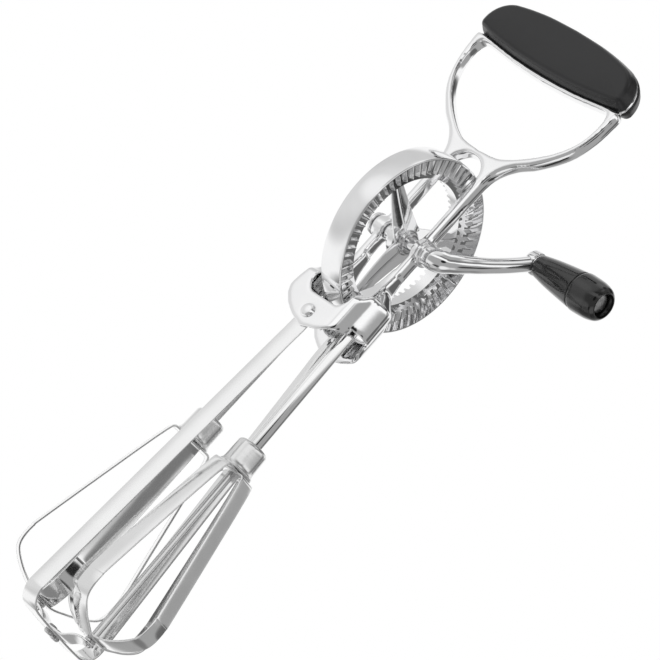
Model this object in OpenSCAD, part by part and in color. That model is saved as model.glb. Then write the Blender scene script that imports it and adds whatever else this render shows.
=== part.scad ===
// Hand-cranked rotary egg beater with a finger-loop grip.
// Origin: middle of the foot, on the plane of the two foot rivet heads. +Z up, axle along Y,
// crank on the +Y side, finger loop in the YZ plane.

/* [Frame] */
// height of the wheel axle above the foot plane
hub_h = 196.4; // [194:0.2:199]
// X width of the frame arms and of the finger loop strap
arm_x = 5.8; // [5:0.2:6.6]
// distance from the middle plane to the inner face of each arm
arm_in = 8; // [7.8:0.1:8.2]
// half width of the gear hood, out to its flat side faces
hood_x = 13; // [12.6:0.1:14]
// wall thickness of the hood side faces
hood_wall = 1.1; // [0.8:0.1:1.3]
// axle bore radius in the two arms
bore_r = 2.45; // [2.42:0.01:2.5]

/* [Grip] */
// lower edge of the grip shells above the axle
grip_z0 = 84; // [83:0.5:86]
// how far the lower edge of the grip shells bows down at the middle
grip_sag = 2.6; // [2:0.2:3]
// highest point of the grip shells above the axle
grip_z1 = 103.5; // [101:0.5:105]
// half length of the grip along Y
grip_half = 39; // [38.8:0.2:41]
// half thickness of the grip at its fullest point
grip_x = 7; // [6:0.2:8]
// half thickness of the metal fin between the two shells
fin_x = 0.9; // [0.6:0.1:1.2]

/* [Wheel] */
// outer radius of the drive wheel
wheel_r = 36; // [35.8:0.1:36.4]
// half width of the rim band
rim_half = 5.4; // [5:0.1:5.6]
// number of crown teeth on each face
wheel_teeth = 60; // [48:12:72]
// inner radius of the front crown teeth
crown_in = 28.4; // [27:0.2:29]
// distance from the middle plane to a tooth crest
crown_top = 4.2; // [4:0.1:4.3]
// distance from the middle plane to a tooth root
crown_root = 2.6; // [2.2:0.1:2.8]
// number of spokes
spoke_count = 3; // [3:1:5]
// direction of the first spoke, from +X towards +Z
spoke_deg = 25; // [0:5:60]

/* [Crank] */
// crank radius, from the axle to the knob stud
crank_r = 37.5; // [36:0.5:40]
// rest direction of the crank, from +X towards +Z
crank_deg = 135; // [100:5:170]
// radius of the long part of the crank rod
rod_r = 3.05; // [2.6:0.05:3.3]
// start of the knob along Y
knob_y0 = 35.4; // [35.2:0.1:36]
// length of the knob
knob_len = 35; // [33:0.5:38]
// radius of the knob at its small end
knob_r0 = 4.6; // [4.2:0.1:5]
// radius of the knob at its full end
knob_r1 = 7.9; // [7:0.1:8.4]
// radius of the knob stud
stud_r = 2; // [1.6:0.1:2.2]

/* [Beaters] */
// distance of each beater axis from the middle plane, at the pinions
axis_y = 10.13; // [10.1:0.01:10.2]
// outward tilt of each beater axis
axis_tilt = 1.67; // [1.5:0.01:1.8]
// number of teeth on each pinion
pinion_teeth = 12; // [12:1:12]
// tip radius of each pinion
pinion_r = 7.1; // [6.9:0.05:7.15]
// outer radius of the hollow shafts
tube_r = 2.65; // [2.4:0.05:2.9]
// radius of the fixed axle rods
axle_rod_r = 1.5; // [1.3:0.05:1.55]
// radial running clearance of the hollow shafts on the rods
rod_fit = 0.05; // [0.03:0.01:0.1]
// width of the beater strips
strip_w = 7.76; // [6.4:0.1:7.8]
// thickness of the beater strips
strip_t = 0.8; // [0.6:0.05:1]
// largest radius of the beater loops
loop_r = 21.5; // [20:0.25:21.75]
// turn of the front beater at rest
front_deg = -4.5; // [-5:0.5:-4]
// turn of the rear beater at rest
rear_deg = -44.5; // [-45:0.5:-44]

/* [Support] */
// width of the support strip along Y
leg_w = 7.5; // [6:0.25:8]
// thickness of the support strip
leg_t = 0.9; // [0.7:0.05:1.1]
// half spread of the support strip near the foot
leg_x = 24.7; // [24:0.1:26]
// sideways shift of the support strip along Y
leg_y = -1.3; // [-1.5:0.1:0]
// half length of the pivot bar along Y
bar_half = 17.2; // [16.8:0.2:19]

/* [Hidden] */
$fn = 64;
axle_r = bore_r - 0.05;
lip_r = wheel_r - 1;
rivet_z = -45;
rivet_hole = 1.5;
rivet_fit = 0.02;
foot_z = -hub_h + 1.4;          // underside of the crosspiece, measured from the axle
bar_top = foot_z + leg_t + 1;   // upper face of the pivot bar at its middle
pin_top = -28.2;                // top face of the pinions
pin_bot = -34.2;                // bottom face of the pinions
roof_z = -27.8;                 // ceiling of the hood
loop_top = -107.1;              // underside of the ferrules
loop_bot = -188.4;              // lowest face of the beaters
bar_end = -189.5;               // upper face of the pivot bar at the rods
stud_head = knob_y0 + knob_len - 3.9;

module at_hub() translate([0, 0, hub_h]) children();
// turns local X, Y, Z into world Y, Z, X
module yz() rotate([90, 0, 90]) children();
// turns local X, Y into world X, Z, with local Z along -Y
module xz() rotate([90, 0, 0]) children();
// a cylinder along +Y from y0 to y1
module ycyl(y0, y1, r, r2 = -1) translate([0, y0, 0]) rotate([-90, 0, 0])
    cylinder(h = y1 - y0, r1 = r, r2 = r2 < 0 ? r : r2);
// beater frame: local z = 0 is level with the pinions, 30 below the axle
module on_axis(s) at_hub() translate([0, s * axis_y, -30]) rotate([s * axis_tilt, 0, 0])
    translate([0, 0, 30]) children();

function mirror_y(p) = [for (i = [len(p) - 1:-1:0]) if (p[i][0] > 0.001) [-p[i][0], p[i][1]]];
function both(p) = concat(p, mirror_y(p));
// arc of n steps round c, from angle a to angle b
function arc(c, r, a, b, n = 8) = [for (i = [0:n]) let (t = a + (b - a) * i / n)
    [c[0] + r * cos(t), c[1] + r * sin(t)]];
// smooth curve through the points p, n steps for each span
function smooth(p, n = 4) = concat([for (i = [0:len(p) - 2]) for (k = [0:n - 1]) let (
    a = p[max(i - 1, 0)], b = p[i], c = p[i + 1], d = p[min(i + 2, len(p) - 1)], t = k / n)
    0.5 * (2 * b + t * (c - a) + t * t * (2 * a - 5 * b + 4 * c - d)
        + t * t * t * (3 * b - a - 3 * c + d))], [p[len(p) - 1]]);
function unit(v) = v / norm(v);
// a polyline moved sideways by d
function shift(p, d) = [for (i = [0:len(p) - 1]) let (
    u = unit(p[min(i + 1, len(p) - 1)] - p[i == len(p) - 1 ? i - 1 : i]),
    v = unit(p[i == 0 ? 1 : i] - p[max(i - 1, 0)]),
    n = unit([-(u + v)[1], (u + v)[0]]), c = n * [-u[1], u[0]]) p[i] + n * d / c];
// a bent strip of thickness t with its middle on the polyline p
function ribbon(p, t) = let (a = shift(p, t / 2), b = shift(p, -t / 2))
    concat(a, [for (i = [len(b) - 1:-1:0]) b[i]]);

// ---------- frame ----------
// outer edge of the arms and finger loop, in Y and height above the axle
outer_edge = smooth([[11.4, -14], [11.4, 8], [11.5, 28], [12.5, 38], [17.2, 45], [24.6, 50.5],
    [33, 60], [36.9, 70], [38.3, 80], [38.4, grip_z0]], 4);
inner_edge = smooth([[0, 44.2], [8.5, 44.9], [13.4, 46.8], [19.2, 50.4], [25, 55], [30, 60.3],
    [33.9, 67], [35.4, 75], [34.6, 80.4], [31.5, 81.8], [16, 80.2], [0, 79.5]], 4);
throat_top = 41.7;
hood_edge = [[11.4, -12], [11.7, -20], [14.2, -27], [16.2, -35.6], [16.7, -40], [15, -43.5],
    [11, -47.2], [6.5, -49.7], [0, -51.6]];

module loop_plate() yz() linear_extrude(height = arm_x, center = true) difference() {
    polygon(both(outer_edge));
    polygon(both(inner_edge));
    translate([-arm_in, -20]) square([2 * arm_in, 20 + throat_top - arm_in]);
    translate([0, throat_top - arm_in]) circle(r = arm_in);
    grip_outline();
}
module flare(x0, x1, z0, z1) xz() linear_extrude(height = 60, center = true)
    polygon(both(concat([[x0, z0]], smooth([[x0, z0 - 2], [x0 + 1.4, z0 - 8],
        [(x0 + x1) / 2 - 0.3, z0 - 13.4], [x1 - 2.6, z1 + 2.2], [x1, z1]], 3), [[x1, -62]])));
// plan of the hood, inset by w: flat sides, rounded corners and a front wall behind the barrel
module hood_plan(w) translate([0, 0, -70]) linear_extrude(height = 70) polygon(both(concat(
    [[hood_x - w, -20], [hood_x - w, 9.6]], arc([hood_x - 4.2, 9.6], 4.2 - w, 12, 66, 4),
    [[7.2, 14.4 - w]])));
module hood_shell() {
    intersection() {
        yz() linear_extrude(height = 2 * hood_x, center = true) polygon(both(hood_edge));
        flare(arm_x / 2, hood_x, -12, -31);
        hood_plan(0);
    }
    for (s = [-1, 1]) translate([0, s * axis_y, -30]) rotate([s * axis_tilt, 0, 0]) {
        translate([0, 0, -11.2]) cylinder(h = 14.7, r = 8.3);
        translate([0, 0, 3.5]) cylinder(h = 5.5, r1 = 8.3, r2 = 3.2);
    }
}
module hood_space() {
    intersection() {
        yz() linear_extrude(height = 2 * (hood_x - hood_wall), center = true)
            polygon(both([[13, roof_z], [14.8, -35.6], [15.3, -40], [15.3, -62]]));
        xz() linear_extrude(height = 60, center = true)
            polygon(both([[8, roof_z], [hood_x - hood_wall, roof_z - 3.6],
                [hood_x - hood_wall, -62]]));
        hood_plan(hood_wall);
    }
    for (s = [-1, 1]) translate([0, s * axis_y, -30]) rotate([s * axis_tilt, 0, 0])
        translate([0, 0, -32]) cylinder(h = 34.2, r = 7.45);
    // slot for the wheel, and its round-cornered notch in the side faces
    translate([-30, -7.3, -37.5]) cube([60, 14.6, 60]);
    for (s = [-1, 1]) translate([s * 20, 0, 0]) yz() linear_extrude(height = 22, center = true)
        polygon(both(concat([[9.5, 0]], arc([4.5, -32.5], 5, 0, -90), [[0, -37.5]])));
}
module body_casting() color([0.86, 0.87, 0.88]) at_hub() difference() {
    union() {
        loop_plate();
        difference() {
            hood_shell();
            hood_space();
        }
        // metal fin between the grip shells
        yz() linear_extrude(height = 2 * fin_x, center = true)
            translate([0, -0.3]) grip_outline();
        // axle bosses
        ycyl(arm_in - 0.1, 11.9, 4.5);
        ycyl(-13.9, -arm_in + 0.1, 4.4);
    }
    ycyl(-20, 20, bore_r);
    for (s = [-1, 1]) {
        translate([0, s * axis_y, -30]) rotate([s * axis_tilt, 0, 0])
            translate([0, 0, -10]) cylinder(h = 19, r = axle_rod_r + rivet_fit);
        translate([0, s * 22, 95]) rotate([0, 90, 0])
            cylinder(h = 6, r = rivet_hole + rivet_fit, center = true);
        translate([s * hood_x, leg_y, rivet_z]) rotate([0, 90, 0])
            cylinder(h = 6, r = rivet_hole + rivet_fit, center = true);
    }
}

// ---------- grip ----------
module grip_outline() polygon(both(concat(
    smooth([[0, grip_z0 - grip_sag], [16, grip_z0 - 0.8 * grip_sag], [grip_half - 6.5, grip_z0 - 0.3]], 4),
    arc([grip_half - 3.6, grip_z0 + 4], 3.6, -70, 0, 5),
    arc([grip_half - 12.5, grip_z1 - 15], 12.5, 0, 76, 10), [[14, grip_z1 - 0.5], [0, grip_z1]])));
module grip_shell(s) mirror([s < 0 ? 1 : 0, 0, 0]) difference() {
    intersection() {
        yz() linear_extrude(height = 20) grip_outline();
        xz() linear_extrude(height = 120, center = true) polygon(concat([[fin_x, grip_z0 - 5]],
            [[grip_x - 2.6, grip_z0 - 5]], arc([grip_x - 3, grip_z0 + 1.4], 2.6, -90, -8, 6),
            [[grip_x, (grip_z0 + grip_z1) / 2]],
            arc([grip_x - 3, grip_z1 - 3], 2.6, 8, 80, 6), [[fin_x, grip_z1 + 1]]));
        linear_extrude(height = 200) polygon(concat([[fin_x, -60]],
            arc([grip_x - 5, 5.2 - grip_half], 5, -90, -6, 7),
            arc([grip_x - 5, grip_half - 5.2], 5, 6, 90, 7), [[fin_x, 60]]));
    }
    for (t = [-1, 1]) translate([0, t * 22, 95]) rotate([0, 90, 0])
        cylinder(h = fin_x + 3.1, r = rivet_hole + rivet_fit);
}
module grip_front_shell() color([0.12, 0.12, 0.12]) at_hub() grip_shell(1);
module grip_rear_shell() color([0.12, 0.12, 0.12]) at_hub() grip_shell(-1);
module grip_pins() color([0.6, 0.61, 0.62]) at_hub() for (t = [-1, 1])
    translate([0, t * 22, 95]) rotate([0, 90, 0])
        cylinder(h = 2 * (fin_x + 3), r = rivet_hole, center = true);

// ---------- wheel ----------
module crown_tooth(r0) linear_extrude(height = lip_r + 0.4 - r0)
    polygon([[-0.75, crown_root - 0.4], [0.75, crown_root - 0.4], [0.75, crown_root],
        [0.25, crown_top], [-0.25, crown_top], [-0.75, crown_root]]);
module spoke() {
    // flat web, wider at the hub, and a thin rib down its middle
    xz() linear_extrude(height = 2, center = true)
        polygon([[2.6, -6], [27.2, -2.5], [27.2, 2.5], [2.6, 6]]);
    xz() linear_extrude(height = 5, center = true)
        polygon([[2.6, -0.45], [26.8, -0.45], [26.8, 0.45], [2.6, 0.45]]);
}
module drive_wheel() color([0.84, 0.85, 0.86]) at_hub() {
    difference() {
        union() {
            xz() rotate_extrude($fn = 120) {
                polygon([[lip_r, -rim_half], [wheel_r - 0.35, -rim_half], [wheel_r, -rim_half + 1],
                    [wheel_r, rim_half - 1], [wheel_r - 0.35, rim_half], [lip_r, rim_half]]);
                translate([26, -1.8]) square([3, 3.6]);
                translate([crown_in, -crown_root]) square([lip_r - crown_in + 0.2, 2 * crown_root]);
            }
            for (i = [0:wheel_teeth - 1]) rotate([0, (i + 0.5) * 360 / wheel_teeth, 0]) {
                translate([0, 0, -lip_r - 0.4]) crown_tooth(crown_in);
                translate([0, 0, -lip_r - 0.4]) mirror([0, 1, 0]) crown_tooth(crown_in - 2.4);
            }
            for (i = [0:spoke_count - 1]) rotate([0, -spoke_deg - i * 360 / spoke_count, 0]) spoke();
            ycyl(-4.5, 4, 4.2);
            ycyl(-4.5, 2.6, 5.2);
            ycyl(-1.5, 1.5, 7.4);
        }
        ycyl(-10, 10, axle_r + 0.6 + rivet_fit);
    }
}
module wheel_axle() color([0.8, 0.81, 0.82]) at_hub() {
    ycyl(-14.1, 13, axle_r);
    ycyl(-arm_in + 0.2, arm_in - 0.2, axle_r + 0.6);
    ycyl(-15.4, -14.05, 4.6);
    ycyl(-16, -15.4, 4.2);
}

// ---------- crank and knob ----------
bend_a = 57;
bend_ra = 9;
bend_b = 29;
s1 = bend_ra * (1 - cos(bend_a));
y1 = 14 + bend_ra * sin(bend_a);
bend_rb = (crank_r - s1) / (sin(90 - bend_a) - sin(90 - bend_a - bend_b));
eye_y = y1 + bend_rb * (cos(90 - bend_a - bend_b) - cos(90 - bend_a));
module crank_frame() at_hub() rotate([0, -crank_deg, 0]) children();
module crank_arm() color([0.86, 0.87, 0.88]) crank_frame() difference() {
    union() {
        ycyl(12.1, 13.2, 5.3);
        ycyl(13.1, 14.05, 4.5);
        // tight bend next to the axle
        translate([bend_ra, 14, 0]) rotate([0, 0, 180 - bend_a])
            rotate_extrude(angle = bend_a) translate([bend_ra, 0]) circle(r = 4.3, $fn = 40);
        // taper, then the long shallow bend
        translate([s1 - 0.6, y1 - 0.5, 0]) rotate([0, 0, 90 - bend_a - 3]) rotate([0, 90, 0])
            cylinder(h = 15, r1 = 4.2, r2 = rod_r - 0.15, $fn = 40);
        translate([s1 + bend_rb * sin(90 - bend_a), y1 - bend_rb * cos(90 - bend_a), 0])
            rotate([0, 0, 180 - bend_a - bend_b]) rotate_extrude(angle = bend_b, $fn = 160)
                translate([bend_rb, 0]) circle(r = rod_r, $fn = 40);
        // eye that holds the stud
        translate([crank_r, 0, 0]) {
            ycyl(eye_y - 2.4, knob_y0 - 0.7, 4.7);
            ycyl(knob_y0 - 0.75, knob_y0 - 0.3, 4.1);
        }
    }
    ycyl(10, 13, axle_r + rivet_fit);
    translate([crank_r, 0, 0]) {
        ycyl(eye_y - 4, knob_y0 + 1, stud_r + rivet_fit);
        // flat seat under the knob
        ycyl(knob_y0 - 0.3, knob_y0 + 3, 7);
    }
}
module knob_stud() color([0.72, 0.73, 0.74]) crank_frame() translate([crank_r, 0, 0]) {
    ycyl(eye_y - 2.4, stud_head + 0.1, stud_r);
    ycyl(stud_head, stud_head + 1.1, 4.2, 3.9);
    ycyl(stud_head + 1.1, stud_head + 1.5, 3.9, 2.6);
}
module knob_sleeve() color([0.06, 0.06, 0.06]) crank_frame() translate([crank_r, 0, 0])
    rotate([-90, 0, 0]) rotate_extrude() polygon(concat([[stud_r + 0.05, knob_y0]],
        [[knob_r0 - 0.6, knob_y0]], smooth([[knob_r0, knob_y0 + 0.6],
            [knob_r0 + 1.15, knob_y0 + 7], [knob_r0 + 2.1, knob_y0 + 14],
            [knob_r1 - 0.35, knob_y0 + 21.4]], 3), [[stud_r + 0.05, knob_y0 + 21.4]]));
module knob_end_cap() color([0.06, 0.06, 0.06]) crank_frame() translate([crank_r, 0, 0])
    rotate([-90, 0, 0]) rotate_extrude() polygon(concat([[stud_r + 0.05, knob_y0 + 21.4]],
        [[knob_r1 - 0.6, knob_y0 + 21.4], [knob_r1 - 0.6, knob_y0 + 21.9], [knob_r1 - 0.1,
            knob_y0 + 21.9], [knob_r1, knob_y0 + 22.4], [knob_r1 - 0.05, knob_y0 + 27]],
        arc([knob_r1 - 3.3, knob_y0 + knob_len - 3.3], 3, 0, 90, 6),
        [[4.95, knob_y0 + knob_len - 0.3], [4.75, knob_y0 + knob_len - 0.6],
            [4.7, stud_head - 0.1], [stud_r + 0.05, stud_head - 0.1]]));

// ---------- support ----------
leg_path = concat([[hood_x - hood_wall - leg_t / 2 - 0.02, -38.4], [hood_x - hood_wall - leg_t / 2 - 0.02, -52.2]],
    arc([leg_x - 7.1, foot_z + 8.3], 7.4, 4, -84, 8));
module support_strip() color([0.78, 0.79, 0.8]) at_hub() difference() {
    translate([0, leg_y, 0]) xz() linear_extrude(height = leg_w, center = true)
        polygon(ribbon(concat(leg_path, [[6, foot_z + leg_t / 2]],
            [for (i = [len(leg_path):-1:0]) i == len(leg_path) ? [-6, foot_z + leg_t / 2]
                : [-leg_path[i][0], leg_path[i][1]]]), leg_t));
    for (s = [-1, 1]) {
        translate([s * hood_x, leg_y, rivet_z]) rotate([0, 90, 0])
            cylinder(h = 8, r = rivet_hole + rivet_fit, center = true);
        translate([s * 2.3, leg_y / 2, foot_z - 1])
            cylinder(h = 4, r = rivet_hole - 0.3 + rivet_fit);
    }
}
module strip_rivets() color([0.8, 0.81, 0.82]) at_hub() for (s = [-1, 1])
    translate([0, leg_y, rivet_z]) mirror([s < 0 ? 1 : 0, 0, 0]) rotate([0, 90, 0]) {
        translate([0, 0, hood_x - hood_wall - leg_t - 0.05])
            cylinder(h = hood_wall + leg_t + 0.1, r = rivet_hole);
        translate([0, 0, hood_x]) cylinder(h = 0.7, r1 = 2.85, r2 = 2.5);
        translate([0, 0, hood_x + 0.7]) cylinder(h = 0.5, r1 = 2.5, r2 = 1.5);
        translate([0, 0, hood_x - hood_wall - leg_t - 0.84]) cylinder(h = 0.8, r = 2.2);
    }
bar_mid = foot_z + leg_t + 0.5;
module pivot_bar() color([0.78, 0.79, 0.8]) difference() {
    at_hub() intersection() {
        yz() linear_extrude(height = 7.4, center = true) polygon(ribbon(concat(
            [[-bar_half, bar_end - 0.5], [-12.6, bar_end - 0.55], [-9, bar_end - 1.7],
                [-5, bar_mid], [5, bar_mid], [9, bar_end - 1.7], [12.6, bar_end - 0.55],
                [bar_half, bar_end - 0.5]]), 1));
        translate([0, 0, -210]) linear_extrude(height = 40) polygon(concat(
            [[3.7, -4], [3.7, 4]], arc([0, bar_half - 2.6], 2.6, 0, 180, 10), [[-3.7, 4], [-3.7, -4]],
            arc([0, 2.6 - bar_half], 2.6, 180, 360, 10)));
    }
    at_hub() for (s = [-1, 1]) translate([s * 2.3, leg_y / 2, foot_z - 1])
        cylinder(h = 5, r = rivet_hole - 0.3 + rivet_fit);
    for (s = [-1, 1]) on_axis(s) translate([0, 0, -195]) cylinder(h = 12, r = 1.2 + rivet_fit);
}
module foot_rivets() color([0.7, 0.71, 0.72]) at_hub() for (s = [-1, 1])
    translate([s * 2.3, leg_y / 2, foot_z]) {
        translate([0, 0, -0.7]) cylinder(h = 0.7, r = 2.1);
        translate([0, 0, -1.4]) cylinder(h = 0.7, r1 = 1.5, r2 = 2.1);
        translate([0, 0, -0.05]) cylinder(h = leg_t + 1.1, r = rivet_hole - 0.3);
        translate([0, 0, leg_t + 1]) cylinder(h = 0.7, r1 = 2, r2 = 1.4);
    }

// ---------- beaters ----------
module axle_rod() color([0.74, 0.75, 0.76]) {
    translate([0, 0, loop_bot - 0.15]) cylinder(h = -21.3 - loop_bot + 0.15, r = axle_rod_r);
    // shoulder that carries the beater, and the peened tail under the bar
    translate([0, 0, bar_end + 0.1]) cylinder(h = loop_bot - 0.2 - bar_end, r = 2.3);
    translate([0, 0, bar_end - 1.2]) cylinder(h = 1.4, r = 1.2);
    translate([0, 0, bar_end - 1.95]) cylinder(h = 0.8, r1 = 1.4, r2 = 1.9);
}
module pinion() color([0.7, 0.71, 0.72]) translate([0, 0, pin_bot]) difference() {
    linear_extrude(height = pin_top - pin_bot) polygon([for (i = [0:pinion_teeth - 1])
        for (q = [[-10.4, 5.5], [-4, pinion_r], [4, pinion_r], [10.4, 5.5]])
            let (a = 90 + i * 360 / pinion_teeth + q[0]) q[1] * [cos(a), sin(a)]]);
    translate([0, 0, -1]) cylinder(h = 20, r = tube_r + rivet_fit);
}
module shaft() color([0.82, 0.83, 0.84]) translate([0, 0, loop_top + 0.3]) difference() {
    cylinder(h = pin_top - loop_top - 0.3, r = tube_r);
    translate([0, 0, -1]) cylinder(h = 100, r = axle_rod_r + rod_fit);
}
module ferrule() color([0.72, 0.73, 0.74]) rotate_extrude() polygon(concat(
    [[tube_r + rivet_fit, loop_top], [7.15, loop_top], [7.25, loop_top + 0.5], [6.9, loop_top + 0.9],
        [6.45, loop_top + 2]], arc([4.6, loop_top + 9.8], 1.7, 0, 90, 6),
    [[tube_r + rivet_fit, loop_top + 11.5]]));
// half outline of one loop, strip middle, radius and height
function loop_path(d) = concat([[0, loop_top - strip_t / 2 - d], [7.4, loop_top - strip_t / 2 - d]],
    arc([7.4, loop_top - strip_t / 2 - d - 1.7], 1.7, 60, 12, 3),
    smooth([[loop_r - 1, -164], [loop_r - 0.1, -170], [loop_r - 0.15, -175], [loop_r - 1.2, -178.6],
        [loop_r - 3.6, -181.2], [13.6, -184], [9, -186.1], [5.6, loop_bot + 1 + d * 0.8]], 3),
    [[strip_w / 2 + 0.15, loop_bot + strip_t / 2 + d], [0, loop_bot + strip_t / 2 + d]]);
module beater_loop(d) color([0.8, 0.81, 0.82]) difference() {
    xz() linear_extrude(height = strip_w, center = true) difference() {
        polygon(both(shift(loop_path(d), strip_t / 2)));
        polygon(both(shift(loop_path(d), -strip_t / 2)));
    }
    translate([0, 0, -195]) cylinder(h = 100, r = axle_rod_r + 0.08);
}
module front_axle_rod() on_axis(1) axle_rod();
module rear_axle_rod() on_axis(-1) axle_rod();
module front_pinion() on_axis(1) pinion();
module front_shaft() on_axis(1) shaft();
module front_ferrule() on_axis(1) ferrule();
module front_loop_outer() on_axis(1) rotate([0, 0, front_deg]) beater_loop(0);
module front_loop_inner() on_axis(1) rotate([0, 0, front_deg + 90]) beater_loop(strip_t);
module rear_pinion() on_axis(-1) pinion();
module rear_shaft() on_axis(-1) shaft();
module rear_ferrule() on_axis(-1) ferrule();
module rear_loop_outer() on_axis(-1) rotate([0, 0, rear_deg]) beater_loop(0);
module rear_loop_inner() on_axis(-1) rotate([0, 0, rear_deg + 90]) beater_loop(strip_t);

body_casting();
grip_front_shell();
grip_rear_shell();
grip_pins();
drive_wheel();
wheel_axle();
crank_arm();
knob_stud();
knob_sleeve();
knob_end_cap();
support_strip();
strip_rivets();
pivot_bar();
foot_rivets();
front_axle_rod();
rear_axle_rod();
front_pinion();
front_shaft();
front_ferrule();
front_loop_outer();
front_loop_inner();
rear_pinion();
rear_shaft();
rear_ferrule();
rear_loop_outer();
rear_loop_inner();
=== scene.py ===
import bpy, bmesh, math
from mathutils import Vector, Matrix


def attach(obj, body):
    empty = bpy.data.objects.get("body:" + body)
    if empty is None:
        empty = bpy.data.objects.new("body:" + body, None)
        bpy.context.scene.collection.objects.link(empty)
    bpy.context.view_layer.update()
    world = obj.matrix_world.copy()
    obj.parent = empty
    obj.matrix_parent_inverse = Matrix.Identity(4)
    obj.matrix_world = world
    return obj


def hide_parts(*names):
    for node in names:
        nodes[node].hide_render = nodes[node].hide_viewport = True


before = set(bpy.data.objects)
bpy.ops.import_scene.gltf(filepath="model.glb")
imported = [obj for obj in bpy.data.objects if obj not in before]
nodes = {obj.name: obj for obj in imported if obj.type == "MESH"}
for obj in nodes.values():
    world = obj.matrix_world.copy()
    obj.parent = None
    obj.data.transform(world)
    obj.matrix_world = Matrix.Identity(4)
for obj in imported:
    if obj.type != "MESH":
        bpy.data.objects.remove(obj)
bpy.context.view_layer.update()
MM = 0.001
HUB_H = 196.4  # height of the wheel axle above the foot, mm


# ---------------------------------------------------------------- materials
def new_mat(name):
    """A new material, its node tree and its shader."""
    m = bpy.data.materials.new(name)
    m.use_nodes = True
    nt = m.node_tree
    return m, nt, nt.nodes["Principled BSDF"]


def node(nt, kind, **props):
    n = nt.nodes.new(kind)
    for k, v in props.items():
        setattr(n, k, v)
    return n


def noise(nt, scale, detail, rough=0.5, stretch=None):
    """Noise in object space, scale to the metre; stretch scales it along each axis."""
    tc = node(nt, "ShaderNodeTexCoord")
    src = tc.outputs["Object"]
    if stretch:
        mp = node(nt, "ShaderNodeMapping")
        mp.inputs["Scale"].default_value = stretch
        nt.links.new(src, mp.inputs["Vector"])
        src = mp.outputs["Vector"]
    n = node(nt, "ShaderNodeTexNoise")
    n.inputs["Scale"].default_value = scale
    n.inputs["Detail"].default_value = detail
    n.inputs["Roughness"].default_value = rough
    nt.links.new(src, n.inputs["Vector"])
    return n.outputs["Fac"]


def remap(nt, src, a, b, c, d):
    """Maps the range a to b onto c to d."""
    n = node(nt, "ShaderNodeMapRange")
    for i, v in zip(("From Min", "From Max", "To Min", "To Max"), (a, b, c, d)):
        n.inputs[i].default_value = v
    nt.links.new(src, n.inputs["Value"])
    return n.outputs["Result"]


def ramp(nt, src, stops):
    """Colour between two stops of (position, colour)."""
    n = node(nt, "ShaderNodeValToRGB")
    for e, (p, c) in zip(n.color_ramp.elements, stops):
        e.position = p
        e.color = (*c, 1)
    nt.links.new(src, n.inputs["Fac"])
    return n.outputs["Color"]


def bump(nt, bsdf, sources):
    """sources: (height, strength, distance), coarse ones first."""
    prev = None
    for src, strength, dist in sources:
        b = node(nt, "ShaderNodeBump")
        b.inputs["Strength"].default_value = strength
        b.inputs["Distance"].default_value = dist
        nt.links.new(src, b.inputs["Height"])
        if prev:
            nt.links.new(prev, b.inputs["Normal"])
        prev = b.outputs["Normal"]
    nt.links.new(prev, bsdf.inputs["Normal"])


# noise scales to the metre, and bump distances in metres
HAIRLINE_SCALE, WAVE_SCALE, GRAIN_SCALE, DENT_SCALE = 900, 90, 2500, 160
HAIRLINE_DEPTH, WAVE_DEPTH, GRAIN_DEPTH = 0.00004, 0.0002, 0.0001


def metal(name, col, rough, spread, dark, wave=0.0, grain=(1, 1, 1), scratch=0.05, scale=60):
    """Bright metal: slow change of tone and gloss, faint hairlines along the grain, slight waves."""
    m, nt, p = new_mat(name)
    p.inputs["Metallic"].default_value = 1.0
    big = noise(nt, scale, 3)
    fine = noise(nt, HAIRLINE_SCALE, 4, 0.6, grain)
    c = ramp(nt, big, [(0.3, tuple(v * dark for v in col)), (0.62, col)])
    nt.links.new(c, p.inputs["Base Color"])
    mix = node(nt, "ShaderNodeMath", operation="ADD")
    nt.links.new(remap(nt, big, 0.3, 0.7, rough - spread, rough + spread), mix.inputs[0])
    nt.links.new(remap(nt, fine, 0.35, 0.75, 0.0, spread), mix.inputs[1])
    nt.links.new(mix.outputs[0], p.inputs["Roughness"])
    sources = [(fine, scratch, HAIRLINE_DEPTH)]
    if wave:
        sources.insert(0, (noise(nt, WAVE_SCALE, 1), wave, WAVE_DEPTH))
    bump(nt, p, sources)
    return m


def plastic(name, col, rough, spread, coat, grain):
    """Moulded plastic: slow change of tone and gloss, fine grain, and a clear coat where it is glossy."""
    m, nt, p = new_mat(name)
    big = noise(nt, 70, 4)
    fine = noise(nt, GRAIN_SCALE, 2, 0.6)
    c = ramp(nt, big, [(0.3, tuple(v * 0.8 for v in col)), (0.7, tuple(v * 1.25 for v in col))])
    nt.links.new(c, p.inputs["Base Color"])
    nt.links.new(remap(nt, big, 0.3, 0.7, rough - spread, rough + spread), p.inputs["Roughness"])
    p.inputs["Coat Weight"].default_value = coat
    p.inputs["Coat Roughness"].default_value = 0.06
    bump(nt, p, [(noise(nt, DENT_SCALE, 2), grain * 0.6, WAVE_DEPTH), (fine, grain, GRAIN_DEPTH)])
    return m


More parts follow.
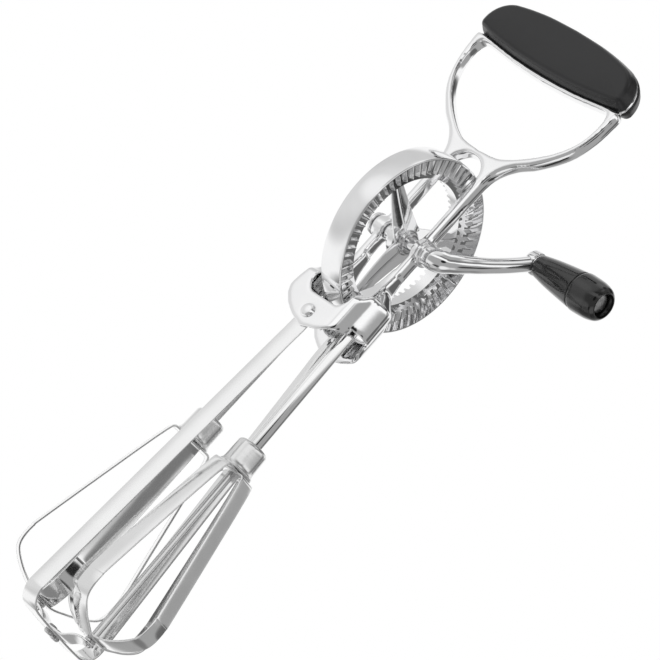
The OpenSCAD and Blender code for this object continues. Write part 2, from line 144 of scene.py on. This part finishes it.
CHROME = metal("chrome_casting", (0.93, 0.93, 0.935), 0.055, 0.02, 0.96, wave=0.10)
CHROME_W = metal("chrome_wheel", (0.9, 0.9, 0.905), 0.07, 0.025, 0.93, wave=0.08)
STRIP = metal("polished_strip", (0.9, 0.9, 0.9), 0.10, 0.03, 0.95, wave=0.04, grain=(1, 1, 0.04))
TUBE = metal("polished_tube", (0.9, 0.9, 0.9), 0.07, 0.02, 0.95, grain=(1, 1, 0.05))
SPUN = metal("brushed_ferrule", (0.82, 0.82, 0.82), 0.2, 0.04, 0.9, grain=(0.05, 0.05, 1), scratch=0.2)
ROD = metal("steel_rod", (0.72, 0.72, 0.72), 0.16, 0.04, 0.85, grain=(1, 1, 0.05))
DULL = metal("dull_steel", (0.6, 0.6, 0.6), 0.28, 0.05, 0.75, wave=0.3, scratch=0.2, scale=400)
PINION = metal("pinion_steel", (0.6, 0.6, 0.6), 0.22, 0.05, 0.8)
GRIP = plastic("grip_black", (0.016, 0.016, 0.017), 0.33, 0.05, 0.0, 0.12)
KNOB_MAT = plastic("knob_black", (0.012, 0.012, 0.012), 0.16, 0.04, 0.5, 0.02)

EDGE = 0.18 * MM  # rounding of the edges of the CAD parts that stay in view
for name, look in (("grip_pins", DULL), ("front_pinion", PINION), ("rear_pinion", PINION)):
    o = nodes[name]
    o.data.materials.clear()
    o.data.materials.append(look)
    for p in o.data.polygons:
        p.use_smooth = True
    b = o.modifiers.new("edge", "BEVEL")
    b.width = EDGE
    b.segments = 2
    b.limit_method = "ANGLE"
    b.angle_limit = math.radians(32)
    b.harden_normals = True

# ---------------------------------------------------------------- shape helpers, in millimetres
AT_HUB = Matrix.Translation((0, 0, HUB_H))
# beater axes: distance from the middle plane and lean, both taken AXIS_LOW below the wheel axle
AXIS_Y, TILT, AXIS_LOW = 10.13, math.radians(1.67), 30
CRANK_R = 37.5
CRANK = AT_HUB @ Matrix.Rotation(math.radians(-135), 4, "Y")
KNOB = CRANK @ Matrix.Translation((CRANK_R, 0, 0))
TO_M = Matrix.Scale(MM, 4)
WELD = 1e-4  # points closer than this become one


def on_axis(s):
    """Frame of a beater: local Z is its axis, heights are measured from the wheel axle."""
    return (AT_HUB @ Matrix.Translation((0, s * AXIS_Y, -AXIS_LOW))
            @ Matrix.Rotation(s * TILT, 4, "X") @ Matrix.Translation((0, 0, AXIS_LOW)))


def arc(cx, cy, r, a, b, n):
    """Part of a circle from a to b degrees, in n steps."""
    return [(cx + r * math.cos(math.radians(a + (b - a) * i / n)),
             cy + r * math.sin(math.radians(a + (b - a) * i / n))) for i in range(n + 1)]


def smooth(pts, n):
    """Catmull-Rom curve through the points, n steps for each span."""
    out = []
    for i in range(len(pts) - 1):
        a, b, c, d = (Vector(pts[min(max(k, 0), len(pts) - 1)]) for k in range(i - 1, i + 3))
        for k in range(n):
            t = k / n
            out.append(0.5 * (2 * b + t * (c - a) + t * t * (2 * a - 5 * b + 4 * c - d)
                              + t ** 3 * (3 * b - a - 3 * c + d)))
    return [tuple(v) for v in out] + [tuple(pts[-1])]


def fillet(pts, r, n=4, closed=True):
    """Rounds every corner of a polygon with a curve that starts r before it."""
    out = []
    for i, p in enumerate(pts):
        if not closed and i in (0, len(pts) - 1):
            out.append(tuple(p))
            continue
        p, q, s = Vector(p), Vector(pts[i - 1]), Vector(pts[(i + 1) % len(pts)])
        a = p + (q - p) * min(0.48, r / max((q - p).length, 1e-6))
        b = p + (s - p) * min(0.48, r / max((s - p).length, 1e-6))
        out += [tuple((1 - t) ** 2 * a + 2 * t * (1 - t) * p + t * t * b)
                for t in (k / n for k in range(n + 1))]
    return out


def piece(name, verts, faces, look, body, covers, place, angle=30):
    """Makes one closed mesh, gives it its material and ties it to its body."""
    me = bpy.data.meshes.new(name)
    me.from_pydata([tuple(v) for v in verts], [], faces)
    bm = bmesh.new()
    bm.from_mesh(me)
    bmesh.ops.remove_doubles(bm, verts=bm.verts, dist=WELD)
    bmesh.ops.recalc_face_normals(bm, faces=bm.faces)
    bm.transform(TO_M @ place)
    bm.to_mesh(me)
    bm.free()
    dress(name, me, look, body, covers, angle)


def dress(name, me, look, body, covers, angle):
    """Shades a mesh, keeps edges above the angle sharp, and lets it stand for the covered nodes."""
    for p in me.polygons:
        p.use_smooth = True
    me.set_sharp_from_angle(angle=math.radians(angle))
    me.materials.clear()
    me.materials.append(look)
    o = bpy.data.objects.new(name, me)
    bpy.context.collection.objects.link(o)
    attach(o, body)
    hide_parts(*covers)


def rings(rows, closed=False, caps=True):
    """Vertices and quads through a list of equal rings of points."""
    n = len(rows[0])
    verts = [p for r in rows for p in r]
    faces = []
    for i in range(len(rows) - (0 if closed else 1)):
        j = (i + 1) % len(rows)
        faces += [(i * n + k, i * n + (k + 1) % n, j * n + (k + 1) % n, j * n + k) for k in range(n)]
    if caps and not closed:
        faces += [tuple(range(n))[::-1], tuple((len(rows) - 1) * n + k for k in range(n))]
    return verts, faces


def lathe(profile, axis="Z", seg=96):
    """Solid or hollow of revolution from a closed (radius, height) outline."""
    rows = []
    for k in range(seg):
        c, s = math.cos(2 * math.pi * k / seg), math.sin(2 * math.pi * k / seg)
        rows.append([(r * c, r * s, h) if axis == "Z" else (r * c, h, r * s) for r, h in profile])
    return rings(rows, closed=True)


def ribbon(path, section, closed=False):
    """Sweeps a section of (across the path, along Y) on a path in the XZ plane."""
    rows, n = [], len(path)
    for i, p in enumerate(path):
        a, b = (path[i - 1], path[(i + 1) % n]) if closed else (path[max(i - 1, 0)], path[min(i + 1, n - 1)])
        t = (Vector(b) - Vector(a)).normalized()
        m = Vector((-t.y, t.x))
        row = [(Vector(p) + m * u, v) for u, v in section]
        rows.append([(q.x, v, q.y) for q, v in row])
    return rings(rows, closed=closed)


def flat_bar(t, w, r=0.26):
    """Section of a strip t thick and w wide, with eased edges."""
    return fillet([(-t / 2, -w / 2), (t / 2, -w / 2), (t / 2, w / 2), (-t / 2, w / 2)], r, 3)


def join(*parts):
    """Several (vertices, faces) as one."""
    verts, faces = [], []
    for v, f in parts:
        k = len(verts)
        verts += list(v)
        faces += [tuple(i + k for i in face) for face in f]
    return verts, faces


def moved(part, m):
    v, f = part
    return [m @ Vector(p) for p in v], f


def relax(mesh, passes):
    """Smooths every vertex towards its neighbours."""
    for k in range(passes):
        bmesh.ops.smooth_vert(mesh, verts=mesh.verts, factor=0.5, use_axis_x=True, use_axis_y=True, use_axis_z=True)


def mirrored(half):
    """A half outline (x >= 0) and its mirror image, as one closed outline."""
    return list(half) + [(-x, y) for x, y in reversed(half) if x > 1e-3]


# ---------------------------------------------------------------- beaters
LOOP_TOP, LOOP_BOT, STRIP_W, STRIP_T, LOOP_R = -107.1, -188.4, 7.76, 0.8, 21.5
TUBE_R, ROD_R, BAR_END = 2.65, 1.5, -189.5
PIN_TOP = -28.2


def loop_outline(d):
    """Middle line of one beater loop; d lowers its top and lifts its crossing at the bottom."""
    top = LOOP_TOP - STRIP_T / 2 - d
    low = LOOP_BOT + STRIP_T / 2 + d
    half = ([(x, top) for x in (0, 2, 4, 6, 7)] + arc(7.4, top - 1.7, 1.7, 72, 10, 8)
            + smooth([(9.6, top - 3.2), (12.3, top - 15.5), (LOOP_R - 1, -164), (LOOP_R - 0.1, -170),
                      (LOOP_R - 0.15, -175), (LOOP_R - 1.2, -178.6), (LOOP_R - 3.6, -181.2),
                      (13.6, -184), (9, -186.1), (6, LOOP_BOT + 1 + d * 0.8), (4.2, low + 0.12)], 10)
            + [(x, low) for x in (3.6, 2, 0)])
    return mirrored(half)


# the two beaters stand 40 degrees apart, so their strips pass through each other's gaps
for side, s, turn in (("front", 1, -4.5), ("rear", -1, -44.5)):
    body, place = side + "_beater", on_axis(s)
    for which, d, extra in (("outer", 0, 0), ("inner", STRIP_T, 90)):
        piece(f"{side}_strip_{which}", *ribbon(loop_outline(d), flat_bar(STRIP_T, STRIP_W), True),
              STRIP, body, [f"{side}_loop_{which}"],
              place @ Matrix.Rotation(math.radians(turn + extra), 4, "Z"), 40)
    # flared ferrule, swaged onto the tube
    outline = fillet([(TUBE_R + 0.02, LOOP_TOP), (7.1, LOOP_TOP)], 0.1, closed=False) + smooth(
        [(7.22, LOOP_TOP + 0.25), (7.2, LOOP_TOP + 0.6), (6.85, LOOP_TOP + 1.1), (6.55, LOOP_TOP + 1.9),
         (6.42, LOOP_TOP + 3.2), (6.36, LOOP_TOP + 6), (6.3, LOOP_TOP + 8.9)], 4) + arc(
        4.6, LOOP_TOP + 9.8, 1.7, 4, 84, 10) + [(3.4, LOOP_TOP + 11.5), (TUBE_R + 0.02, LOOP_TOP + 11.2)]
    piece(side + "_spun_ferrule", *lathe(outline), SPUN, body, [side + "_ferrule"], place)
    piece(side + "_tube", *lathe(fillet([(ROD_R + 0.05, LOOP_TOP + 0.3), (TUBE_R, LOOP_TOP + 0.3),
                                         (TUBE_R, PIN_TOP), (ROD_R + 0.05, PIN_TOP)], 0.15)),
          TUBE, body, [side + "_shaft"], place)
    piece(side + "_rod", *lathe(fillet(
        [(0, BAR_END - 1.95), (1.4, BAR_END - 1.95), (1.9, BAR_END - 1.15), (1.2, BAR_END - 1.15),
         (1.2, BAR_END + 0.1), (2.3, BAR_END + 0.1), (2.3, LOOP_BOT - 0.1), (ROD_R, LOOP_BOT - 0.1),
         (ROD_R, -21.3), (0, -21.3)], 0.16, closed=False) + [(0, BAR_END - 1.95)]),
        ROD, "frame", [side + "_axle_rod"], place)

# ---------------------------------------------------------------- support strip, rivets and foot
HOOD_X, WALL, LEG_T, LEG_W, LEG_X, LEG_Y = 13, 1.1, 0.9, 7.5, 24.7, -1.3
FOOT_Z = -HUB_H + 1.4
x0 = HOOD_X - WALL - LEG_T / 2 - 0.02
half = smooth([(x0, -38.4), (x0, -45), (x0 + 0.03, -51.6), (x0 + 0.8, -59)], 6)[:-1]
bend = arc(LEG_X - 7.1, FOOT_Z + 8.3, 7.4, 4, -84, 16)
half += [(x0 + 0.8 + (bend[0][0] - x0 - 0.8) * k / 12, -59 + (bend[0][1] + 59) * k / 12) for k in range(12)]
half += bend + smooth([(17.2, FOOT_Z + 0.75), (11, FOOT_Z + 0.52), (6, FOOT_Z + LEG_T / 2),
                       (0, FOOT_Z + LEG_T / 2)], 4)
piece("leg_strip", *ribbon(half + [(-x, z) for x, z in reversed(half[:-1])],
                           [(u, v + LEG_Y) for u, v in flat_bar(LEG_T, LEG_W, 0.3)]),
      STRIP, "frame", ["support_strip"], AT_HUB, 40)

bar_mid = FOOT_Z + LEG_T + 0.5
BAR_HALF, BAR_ROUND, BAR_W = 17.2, 3.6, 3.7  # half length, length of each rounded end, half width
rows = []
for y, z in smooth([(-BAR_HALF, BAR_END - 0.5), (-12.6, BAR_END - 0.55), (-9, BAR_END - 1.7),
                    (-5, bar_mid), (0, bar_mid), (5, bar_mid), (9, BAR_END - 1.7),
                    (12.6, BAR_END - 0.55), (BAR_HALF, BAR_END - 0.5)], 8):
    e = max(0.0, abs(y) - (BAR_HALF - BAR_ROUND)) / BAR_ROUND
    w = BAR_W * math.sqrt(max(1 - e * e, 0.004))
    rows.append([(x, y, z + u) for u, x in fillet([(-0.5, -w), (0.5, -w), (0.5, w), (-0.5, w)], 0.25, 3)])
piece("foot_bar", *rings(rows), STRIP, "frame", ["pivot_bar"], AT_HUB, 40)

dome = []
for s in (-1, 1):
    spin = Matrix.Translation((0, LEG_Y, -45)) @ Matrix.Rotation(math.radians(90 * s), 4, "Y")
    shank = fillet([(2.2, 10.15), (2.2, 10.98), (1.5, 10.98), (1.5, 13.0), (2.95, 13.0)], 0.1, closed=False)
    head = smooth([(2.9, 13.2), (2.6, 13.6), (1.9, 13.98), (1.0, 14.14), (0, 14.18)], 4)
    dome.append(moved(lathe([(0, 10.9)] + shank + head + [(0, 10.9)], seg=48), spin))
piece("plate_rivets", *join(*dome), CHROME, "frame", ["strip_rivets"], AT_HUB, 40)
nubs = [moved(lathe(fillet([(0, -1.4), (1.5, -1.4), (2.1, -0.75), (2.1, 0), (1.2, 0), (1.2, LEG_T + 1),
                            (2, LEG_T + 1), (1.5, LEG_T + 1.65), (0, LEG_T + 1.7)], 0.3, closed=False)
                    + [(0, -1.4)], seg=40),
              Matrix.Translation((s * 2.3, LEG_Y / 2, FOOT_Z))) for s in (-1, 1)]
piece("foot_nubs", *join(*nubs), DULL, "frame", ["foot_rivets"], AT_HUB, 40)

# ---------------------------------------------------------------- wheel
WHEEL_R, RIM_HALF, TEETH, CREST, ROOT, CROWN_IN, CROWN_IN_REAR = 36, 5.4, 60, 4.2, 2.6, 28.4, 26.0
LIP_R = WHEEL_R - 1.15
rim = fillet([(LIP_R, -RIM_HALF), (WHEEL_R - 0.75, -RIM_HALF)], 0.1, closed=False) + smooth(
    [(WHEEL_R - 0.6, -RIM_HALF + 0.05), (WHEEL_R - 0.35, -RIM_HALF + 0.5), (WHEEL_R - 0.1, -2.8), (WHEEL_R, 0),
     (WHEEL_R - 0.1, 2.8), (WHEEL_R - 0.35, RIM_HALF - 0.5), (WHEEL_R - 0.6, RIM_HALF - 0.05)], 6) + [
    (WHEEL_R - 0.75, RIM_HALF), (LIP_R, RIM_HALF), (LIP_R - 0.05, 3.4), (LIP_R - 0.05, -3.4)]
# a tooth's outline: offset along the rim, and share of the rise from root to crest
TOOTH = [(-0.92, 0), (-0.74, 0.12), (-0.36, 0.86), (-0.2, 1), (0.2, 1), (0.36, 0.86), (0.74, 0.12), (0.92, 0)]
rows = []
for i in range(TEETH):
    for off, rise in TOOTH:
        mid = (i + 0.5) * 2 * math.pi / TEETH
        y = ROOT + rise * (CREST - ROOT)
        row = []
        for r, h in ((CROWN_IN_REAR, -y + 0.12), (CROWN_IN_REAR + 0.15, -y), (LIP_R + 0.2, -y), (LIP_R + 0.2, y),
                     (CROWN_IN + 0.15, y), (CROWN_IN, y - 0.12), (CROWN_IN, 1.8), (CROWN_IN_REAR, 1.8)):
            a = mid + off / r
            row.append((r * math.cos(a), h, r * math.sin(a)))
        rows.append(row)
crown = rings(rows, closed=True)

SPOKE_IN, SPOKE_OUT, RIB_OUT = 2.6, 27.2, 26.8
WEB_HUB, WEB_RIM, WEB_T = 6, 2.5, 0.8  # half widths and thickness
RIB_BACK, RIB_HALF, RIB_RISE = -2.5, 0.45, 0.5
DISH_Y, DISH_SLOPE, DISH_CURVE = 2.6, -0.245, 0.0037  # front face: height at the hub, and how it falls outward


def spoke(deg):
    """A thin web, wider at the hub, dished back towards the rim, with a low rib down its middle."""
    t = Matrix.Rotation(math.radians(-deg), 4, "Y")
    web, rib = [], []
    for r in (SPOKE_IN, 6, 10, 14, 18, 22, SPOKE_OUT):
        out = r - SPOKE_IN
        w = WEB_HUB - (WEB_HUB - WEB_RIM) * out / (SPOKE_OUT - SPOKE_IN)
        front = DISH_Y + DISH_SLOPE * out + DISH_CURVE * out * out
        back_y, top = front - WEB_T, front + RIB_RISE
        web.append([(r, y, x) for y, x in fillet([(back_y, -w), (front, -w), (front, w), (back_y, w)], 0.2, 3)])
        rib.append([(min(r, RIB_OUT), y, x) for y, x in fillet(
            [(RIB_BACK, -RIB_HALF), (top, -RIB_HALF), (top, RIB_HALF), (RIB_BACK, RIB_HALF)], 0.2, 3)])
    return [moved(rings(web), t), moved(rings(rib), t)]


hub = lathe(fillet([(3.02, -4.5), (4.6, -4.5), (5.2, -4.1), (5.2, -1.5), (7.4, -1.5), (7.4, 1.5), (5.2, 1.5),
                    (5.2, 2.6), (4.2, 2.6), (4.2, 4), (3.02, 4)], 0.25), "Y")
piece("crown_wheel", *join(lathe(rim, "Y", 180), crown, hub, *[p for k in range(3) for p in spoke(25 + 120 * k)]),
      CHROME_W, "wheel", ["drive_wheel"], AT_HUB, 32)
AXLE_R = 2.4
piece("axle_pin", *lathe(fillet(
    [(0, -16), (3.9, -16), (4.6, -15.3), (4.6, -14.05), (AXLE_R, -14.05), (AXLE_R, -7.8), (3, -7.8), (3, 7.8),
     (AXLE_R, 7.8), (AXLE_R, 13), (0, 13)], 0.3, closed=False) + [(0, -16)], "Y", 64),
      CHROME_W, "wheel", ["wheel_axle"], AT_HUB)

# ---------------------------------------------------------------- crank and knob
BEND_A, BEND_RA, BEND_B = math.radians(57), 9, math.radians(29)
S1, Y1 = BEND_RA * (1 - math.cos(BEND_A)), 14 + BEND_RA * math.sin(BEND_A)
BEND_RB = (CRANK_R - S1) / (math.cos(BEND_A) - math.cos(BEND_A + BEND_B))
EYE_Y = Y1 + BEND_RB * (math.sin(BEND_A + BEND_B) - math.sin(BEND_A))
KNOB_Y = 35.4
path = [(0, 13.2), (0, 13.6)]
path += [(BEND_RA * (1 - math.cos(a)), 14 + BEND_RA * math.sin(a)) for a in (BEND_A * k / 16 for k in range(17))]
path += [(S1 + BEND_RB * (math.cos(BEND_A) - math.cos(a)), Y1 + BEND_RB * (math.sin(a) - math.sin(BEND_A)))
         for a in (BEND_A + BEND_B * k / 40 for k in range(1, 41))]
# radius of the crank rod against the share of its path's points passed
girth = [(0, 3.9), (0.03, 4.3), (0.12, 4.5), (0.2, 4.4), (0.32, 3.85), (0.48, 3.3), (0.65, 3.05),
         (0.85, 3.0), (1, 3.1)]
rows = []
for i, p in enumerate(path):
    t = i / (len(path) - 1)
    k = max(j for j in range(len(girth) - 1) if girth[j][0] <= t)
    f = (t - girth[k][0]) / (girth[k + 1][0] - girth[k][0])
    r = girth[k][1] + (girth[k + 1][1] - girth[k][1]) * f * f * (3 - 2 * f)
    a, b = Vector(path[max(i - 1, 0)]), Vector(path[min(i + 1, len(path) - 1)])
    d = (b - a).normalized()
    rows.append([(p[0] + d.y * r * math.cos(q), p[1] - d.x * r * math.cos(q), r * math.sin(q))
                 for q in (2 * math.pi * j / 48 for j in range(48))])
collar = lathe(fillet([(2.42, 12.1), (5.3, 12.1), (5.3, 13.15), (4.55, 13.2), (4.55, 14.0), (3.5, 14.2),
                       (2.42, 14.2)], 0.3), "Y", 64)
eye = moved(lathe(fillet([(2.02, EYE_Y - 2.4), (4.1, EYE_Y - 2.4), (4.75, EYE_Y - 1.2), (4.75, KNOB_Y - 1.5),
                          (4.45, KNOB_Y - 0.75), (4.05, KNOB_Y - 0.7), (4.05, KNOB_Y - 0.3),
                          (2.02, KNOB_Y - 0.3)], 0.35), "Y", 64),
            Matrix.Translation((CRANK_R, 0, 0)))
piece("crank_rod", *join(rings(rows), collar, eye), CHROME, "wheel", ["crank_arm"], CRANK, 40)

STUD_R, KNOB_LEN = 2, 35
HEAD_Y = KNOB_Y + KNOB_LEN - 3.9
shank = fillet([(0, EYE_Y - 2.6), (1.7, EYE_Y - 2.6), (STUD_R, EYE_Y - 2.4), (STUD_R, HEAD_Y), (4.2, HEAD_Y),
                (4.2, HEAD_Y + 0.5)], 0.12, closed=False)
head = smooth([(4.15, HEAD_Y + 0.7), (3.7, HEAD_Y + 1.15), (2.4, HEAD_Y + 1.42), (1.1, HEAD_Y + 1.5),
               (0, HEAD_Y + 1.5)], 4)
piece("stud", *lathe(shank + head + [(0, EYE_Y - 2.6)], "Y", 64), DULL, "wheel", ["knob_stud"], KNOB, 40)
R0, R1, CAP = 4.6, 7.9, KNOB_Y + 21.4
piece("knob_body", *lathe([(STUD_R + 0.05, KNOB_Y)] + smooth(
    [(R0 - 0.7, KNOB_Y), (R0 - 0.1, KNOB_Y + 0.5), (R0 + 0.35, KNOB_Y + 2.6), (R0 + 1.15, KNOB_Y + 7),
     (R0 + 2.1, KNOB_Y + 14), (R1 - 0.45, CAP - 0.8), (R1 - 0.6, CAP - 0.25), (R1 - 0.9, CAP)], 8)
    + [(STUD_R + 0.05, CAP)], "Y"), KNOB_MAT, "knob", ["knob_sleeve"], KNOB, 50)
piece("knob_end", *lathe([(STUD_R + 0.05, CAP), (R1 - 0.75, CAP)] + smooth(
    [(R1 - 0.75, CAP + 0.35), (R1 - 0.35, CAP + 0.6), (R1 - 0.06, CAP + 1.3), (R1, CAP + 3),
     (R1 - 0.1, CAP + 6.4), (R1 - 0.35, CAP + 9), (R1 - 1.1, CAP + 11.6), (R1 - 2.2, CAP + 12.9),
     (R1 - 2.9, CAP + 13.28), (4.85, CAP + 12.95), (4.7, CAP + 12.4)], 6)
    + [(4.7, HEAD_Y - 0.1), (STUD_R + 0.05, HEAD_Y - 0.1)], "Y"), KNOB_MAT, "knob", ["knob_end_cap"], KNOB, 50)

# ---------------------------------------------------------------- grip
GRIP_Z0, GRIP_Z1, GRIP_HALF, GRIP_X, FIN_X, SAG = 84, 103.5, 39, 7, 0.9, 2.6
outline = (smooth([(0, GRIP_Z0 - SAG), (16, GRIP_Z0 - 0.8 * SAG), (GRIP_HALF - 6.5, GRIP_Z0 - 0.3)], 8)[:-1]
           + arc(GRIP_HALF - 3.6, GRIP_Z0 + 4, 3.6, -72, 0, 10) + arc(GRIP_HALF - 12.5, GRIP_Z1 - 15, 12.5, 0, 76, 16)
           + smooth([(25, GRIP_Z1 - 1.9), (14, GRIP_Z1 - 0.5), (0, GRIP_Z1)], 8)[1:])
outline = mirrored(outline)
n = len(outline)
normals = []
for i in range(n):
    t = (Vector(outline[(i + 1) % n]) - Vector(outline[i - 1])).normalized()
    normals.append(Vector((-t.y, t.x)))
# (inset from the outline, distance from the middle plane): drafted edge, round shoulder, crowned face
DRAFT, SHOULDER_X, STEPS = 0.95, 4.6, 10
profile = [(0.25, FIN_X), (0.02, FIN_X + 0.25), (0.1, 1.8), (0.45, 3.2), (DRAFT, SHOULDER_X)]
profile += [(DRAFT + 0.25 * k + 2.1 * (1 - math.cos(math.radians(90 * k))),
             SHOULDER_X + 2.05 * math.sin(math.radians(90 * k))) for k in (q / STEPS for q in range(1, STEPS + 1))]
edge_in, edge_x = profile[-1]
edge = [(p[0] + m.x * edge_in, p[1] + m.y * edge_in) for p, m in zip(outline, normals)]
RIDGE_HALF, RIDGE_Z = 26.0, 92.6  # half length and height of the line that each crowned face rises to
for name, s in (("grip_front", 1), ("grip_rear", -1)):
    rows = [[(s * x, p[0] + m.x * inset, p[1] + m.y * inset) for p, m in zip(outline, normals)]
            for inset, x in profile]
    for k in range(1, STEPS + 1):
        t = k / STEPS
        x = edge_x + (GRIP_X - 0.02 - edge_x) * (1 - (1 - t) ** 2)
        rows.append([(s * x, y + (max(-RIDGE_HALF, min(RIDGE_HALF, y * 0.9)) - y) * t, z + (RIDGE_Z - z) * t)
                     for y, z in edge])
    v, f = rings(rows, caps=False)
    f.append(tuple(range(n)))
    piece(name, v, f, GRIP, "frame", [name + "_shell"], AT_HUB, 60)

# ---------------------------------------------------------------- casting
# the CAD solid softened like a plated die casting, with its arms and loop rounded on their outer faces
VOXEL, BULGE, BULGE_HALF = 0.42, 0.55, 2.9
ARM_FOOT, ARM_Y, OUTWARD = -13, 10.4, 0.35  # what counts as an outer face: lowest z, least y, least outward normal
base = bpy.data.objects.new("casting_base", nodes["body_casting"].data.copy())
bpy.context.collection.objects.link(base)
mod = base.modifiers.new("voxels", "REMESH")
mod.mode = "VOXEL"
mod.voxel_size = VOXEL * MM
bpy.context.view_layer.update()
me = bpy.data.meshes.new_from_object(base.evaluated_get(bpy.context.evaluated_depsgraph_get()))
bpy.data.objects.remove(base)
bm = bmesh.new()
bm.from_mesh(me)
relax(bm, 10)
bm.normal_update()
for v in bm.verts:
    x, y, z = v.co.x / MM, v.co.y / MM, v.co.z / MM - HUB_H
    out = v.normal.y * (1 if y > 0 else -1)
    if ARM_FOOT < z < GRIP_Z0 - 1 and out > OUTWARD and abs(x) < BULGE_HALF and abs(y) > ARM_Y:
        v.co += Vector((0, v.normal.y, v.normal.z)).normalized() * BULGE * MM * (1 - (x / BULGE_HALF) ** 2)
relax(bm, 8)
bm.to_mesh(me)
bm.free()
me.name = "casting"
dress("casting", me, CHROME, "frame", ["body_casting"], 180)

# ---------------------------------------------------------------- camera
cam = bpy.data.objects.new("camera", bpy.data.cameras.new("camera"))
bpy.context.collection.objects.link(cam)
# the camera's own axes in the frame
right = Vector((-0.3851, 0.6517, 0.6535))
up = Vector((0.5195, -0.4322, 0.7371))
back = Vector((0.7628, 0.6233, -0.1721))
rot = Matrix((right, up, back)).transposed()
# where the camera stands from the hub, in mm along its own axes
CAM_RIGHT, CAM_UP, CAM_BACK = -27.062, -33.267, 1840.67
SENSOR, LENS = 36, 271.56  # width of the sensor and focal length, mm
cam.matrix_world = Matrix.Translation(
    (Vector((0, 0, HUB_H)) + right * CAM_RIGHT + up * CAM_UP + back * CAM_BACK) * MM) @ rot.to_4x4()
cam.data.sensor_width = SENSOR
cam.data.lens = LENS
cam.data.clip_start = 0.05
cam.data.clip_end = 60
bpy.context.scene.camera = cam

# ---------------------------------------------------------------- studio
scene = bpy.context.scene
scene.view_settings.view_transform = "Standard"
world = bpy.data.worlds.new("studio")
scene.world = world
world.use_nodes = True
nt = world.node_tree
bg = nt.nodes["Background"]
bg.inputs["Color"].default_value = (1, 1, 1, 1)
tc = node(nt, "ShaderNodeTexCoord")


def toward(x, y):
    """Direction x degrees to the right of the camera and y degrees above it, seen from the object."""
    a, q = math.radians(math.hypot(x, y)), math.atan2(y, x)
    return math.cos(a) * back + math.sin(a) * (math.cos(q) * right + math.sin(q) * up)


def facing(direction):
    """Cosine between the looked-at direction and a given one."""
    dot = node(nt, "ShaderNodeVectorMath", operation="DOT_PRODUCT")
    dot.inputs[1].default_value = direction
    nt.links.new(tc.outputs["Generated"], dot.inputs[0])
    return dot.outputs["Value"]


def blend(prev, amount, none, full, value):
    """Mixes value into prev, from nothing where amount is none to all where it is full."""
    mr = node(nt, "ShaderNodeMapRange", interpolation_type="SMOOTHSTEP")
    mr.inputs["From Min"].default_value = none
    mr.inputs["From Max"].default_value = full
    nt.links.new(amount, mr.inputs["Value"])
    mx = node(nt, "ShaderNodeMix")
    nt.links.new(mr.outputs["Result"], mx.inputs["Factor"])
    nt.links.new(prev, mx.inputs[2])
    mx.inputs[3].default_value = value
    return mx.outputs[0]


def panel(prev, x, y, inner, outer, value):
    """A round panel of the studio: tone value inside the inner angle, blending out to the outer one."""
    return blend(prev, facing(toward(x, y)), math.cos(math.radians(outer)), math.cos(math.radians(inner)), value)


def stripe(prev, points, half, soft, value):
    """A long curved panel: the circle of directions through three points, half degrees to each side."""
    p, q, r = (toward(*c) for c in points)
    n = (q - p).cross(r - p).normalized()
    sub = node(nt, "ShaderNodeMath", operation="SUBTRACT")
    nt.links.new(facing(n), sub.inputs[0])
    sub.inputs[1].default_value = n.dot(p)
    ab = node(nt, "ShaderNodeMath", operation="ABSOLUTE")
    nt.links.new(sub.outputs[0], ab.inputs[0])
    return blend(prev, ab.outputs[0], math.sin(math.radians(half + soft)), math.sin(math.radians(half)), value)


TENT = 0.38  # tone of the tent between its panels
start = node(nt, "ShaderNodeValue")
start.outputs[0].default_value = TENT
v = start.outputs[0]
# a slanting light tube with dark edges, seen as the long streaks in every rounded part
v = stripe(v, [(-28, 67), (28, 33), (80, -2)], 3, 3, 0.16)
v = stripe(v, [(-38, 54), (16, 21), (70, -15)], 6, 5, 1.05)
# (right, up, inner, outer, tone): soft panels first, then the dark cards, the last of them around the camera
for card in [(-102, 0, 26, 50, 1.0), (-75, 35, 14, 34, 0.66), (-42, 88, 36, 58, 0.76), (20, 125, 18, 44, 0.66),
             (-33, 66, 4, 22, 0.98), (40, 88, 8, 20, 1.0), (56, 46, 6, 14, 0.9), (180, 0, 34, 50, 1.0),
             (122, -14, 8, 20, 1.0), (97, -33, 9, 15, 0.36), (0, -62, 12, 24, 0.9), (-60, -32, 12, 26, 0.85),
             (130, -80, 12, 24, 0.9),
             (62, 76, 6, 12, 0.10), (88, 18, 5, 11, 0.14), (118, 45, 9, 20, 0.07), (42, -38, 6, 13, 0.06),
             (86, -57, 6, 10, 0.13), (-32, -48, 6, 14, 0.07), (-70, -80, 12, 26, 0.24), (10, -98, 8, 20, 0.2),
             (96, -84, 6, 13, 0.10), (36, 19, 5, 9, 0.2), (9, 1, 11, 15, 0.02)]:
    v = panel(v, *card)
# the background itself is white to the camera
lp = node(nt, "ShaderNodeLightPath")
mx = node(nt, "ShaderNodeMix")
nt.links.new(lp.outputs["Is Camera Ray"], mx.inputs["Factor"])
nt.links.new(v, mx.inputs[2])
mx.inputs[3].default_value = 1.0
nt.links.new(mx.outputs[0], bg.inputs["Strength"])

# a small floor well below, since a large one shows as flat grey in every face that looks down
FLOOR_R, FLOOR_Z = 0.3, -0.8
bm = bmesh.new()
bmesh.ops.create_circle(bm, cap_ends=True, radius=FLOOR_R, segments=64)
me = bpy.data.meshes.new("floor")
bm.to_mesh(me)
floor = bpy.data.objects.new("floor", me)
bpy.context.collection.objects.link(floor)
floor.location.z = FLOOR_Z
pale, _, shader = new_mat("floor_pale")
shader.inputs["Base Color"].default_value = (0.9, 0.9, 0.9, 1)
shader.inputs["Roughness"].default_value = 0.9
me.materials.append(pale)
